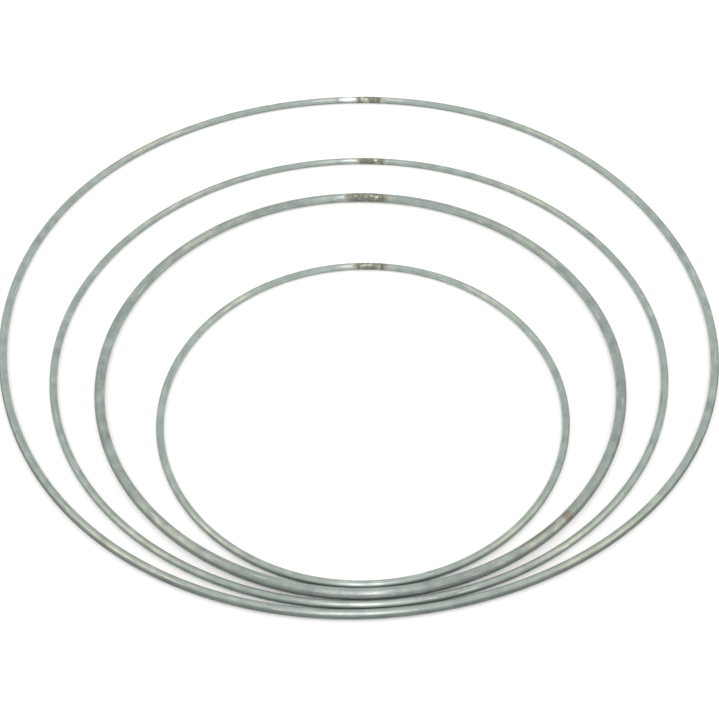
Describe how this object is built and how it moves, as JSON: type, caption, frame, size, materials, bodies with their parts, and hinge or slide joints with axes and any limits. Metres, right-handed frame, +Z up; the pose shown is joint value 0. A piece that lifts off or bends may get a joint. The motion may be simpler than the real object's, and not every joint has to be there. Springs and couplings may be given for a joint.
{
  "type": "wreath ring set",
  "caption": "Graded set of plain round galvanised wire hoops for making wreaths, lying flat one inside another and touching at the front.",
  "frame": {"origin": "on the table plane, under the middle of the outer ring", "axes": "+Z up from the table, +Y from the front, where the rings touch, to the back, where their welds are, +X to the right seen from the front"},
  "size_m": [0.2986, 0.2997, 0.0041],
  "materials": {
    "galvanised_wire": "drawn wire with a bright zinc coat, slightly dulled",
    "weld": "ground butt weld with brown and straw heat tint"
  },
  "bodies": {
    "outer_ring": {"outer_ring_wire": "galvanised_wire", "outer_ring_weld": "weld"},
    "second_ring": {"second_ring_wire": "galvanised_wire", "second_ring_weld": "weld"},
    "third_ring": {"third_ring_wire": "galvanised_wire", "third_ring_weld": "weld"},
    "inner_ring": {"inner_ring_wire": "galvanised_wire", "inner_ring_weld": "weld"}
  },
  "joints": [
    {"name": "second_ring_lift", "type": "slide", "parent": "outer_ring", "child": "second_ring", "axis": [0, 0, 1], "range_m": [0, 0.06]},
    {"name": "third_ring_lift", "type": "slide", "parent": "outer_ring", "child": "third_ring", "axis": [0, 0, 1], "range_m": [0, 0.06]},
    {"name": "inner_ring_lift", "type": "slide", "parent": "outer_ring", "child": "inner_ring", "axis": [0, 0, 1], "range_m": [0, 0.06]}
  ]
}
